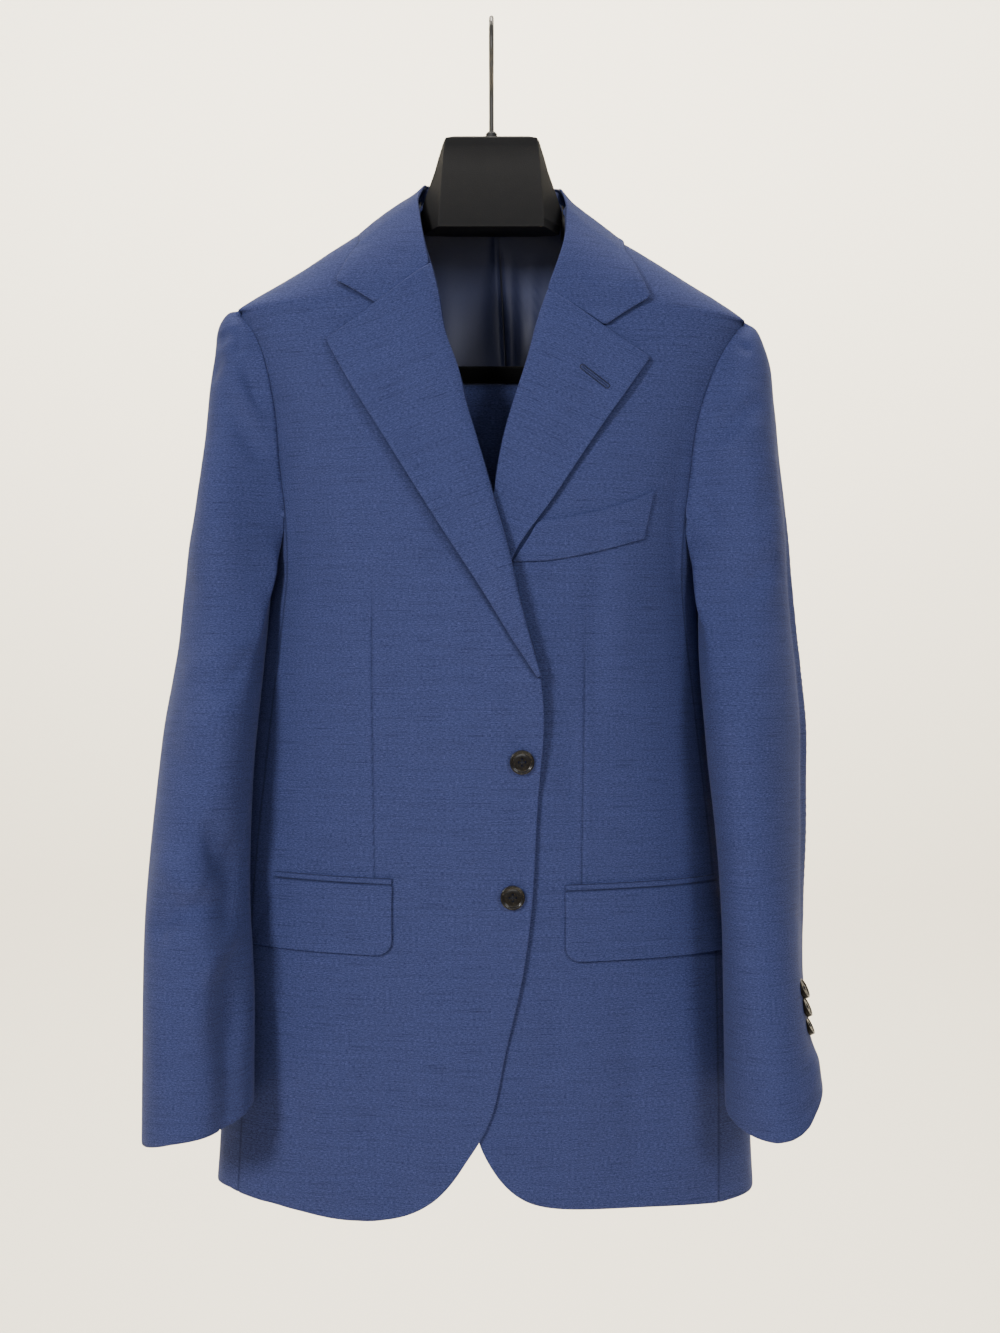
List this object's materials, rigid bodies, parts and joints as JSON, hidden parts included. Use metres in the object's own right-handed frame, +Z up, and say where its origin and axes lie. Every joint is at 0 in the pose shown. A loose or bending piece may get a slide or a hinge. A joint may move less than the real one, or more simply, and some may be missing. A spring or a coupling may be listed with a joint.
{
  "type": "two-piece suit on a hanger",
  "caption": "Blue two-piece suit, a notch-lapel jacket over trousers folded on the bar of its hanger, which hangs by a wire hook.",
  "frame": {"origin": "inside top of the hanger's hook, where it hangs on a rail or a wall hook", "axes": "+Z up; -Y the suit's front; +X to the right of someone who faces the front, which is the wearer's left"},
  "size_m": [0.5021, 0.1903, 0.9175],
  "materials": {
    "blue_wool": "mid-blue wool, matt, with a fine cross-grained melange",
    "navy_satin": "dark navy satin lining",
    "brown_horn": "dark brown, mottled and glossy",
    "black_plastic": "fine matt grain",
    "black_flock": "black flocking that keeps trousers from slipping",
    "steel_wire": "plain bright wire"
  },
  "bodies": {
    "root": {"front_right": "blue_wool", "front_left": "blue_wool", "side_right": "blue_wool", "side_left": "blue_wool", "back_right": "blue_wool", "back_left": "blue_wool", "topsleeve_right": "blue_wool", "topsleeve_left": "blue_wool", "undersleeve_right": "blue_wool", "undersleeve_left": "blue_wool", "lapel_right": "blue_wool", "lapel_left": "blue_wool", "collar": "blue_wool", "collar_stand": "blue_wool", "flap_right": "blue_wool", "flap_left": "blue_wool", "jet_right": "blue_wool", "jet_left": "blue_wool", "breast_welt": "blue_wool", "trouser_leg_right": "blue_wool", "trouser_leg_left": "blue_wool", "waistband": "blue_wool", "back_lining": "navy_satin", "front_button_upper": "brown_horn", "front_button_lower": "brown_horn", "cuff_button_right_1": "brown_horn", "cuff_button_right_2": "brown_horn", "cuff_button_right_3": "brown_horn", "cuff_button_left_1": "brown_horn", "cuff_button_left_2": "brown_horn", "cuff_button_left_3": "brown_horn", "hanger_neck_block": "black_plastic", "hanger_arm_right": "black_plastic", "hanger_arm_left": "black_plastic", "hanger_post_right": "black_plastic", "hanger_post_left": "black_plastic", "hanger_ferrule": "black_plastic", "hanger_lock_bar": "black_flock", "hanger_rail": "black_flock", "hanger_hook": "steel_wire"}
  },
  "joints": []
}
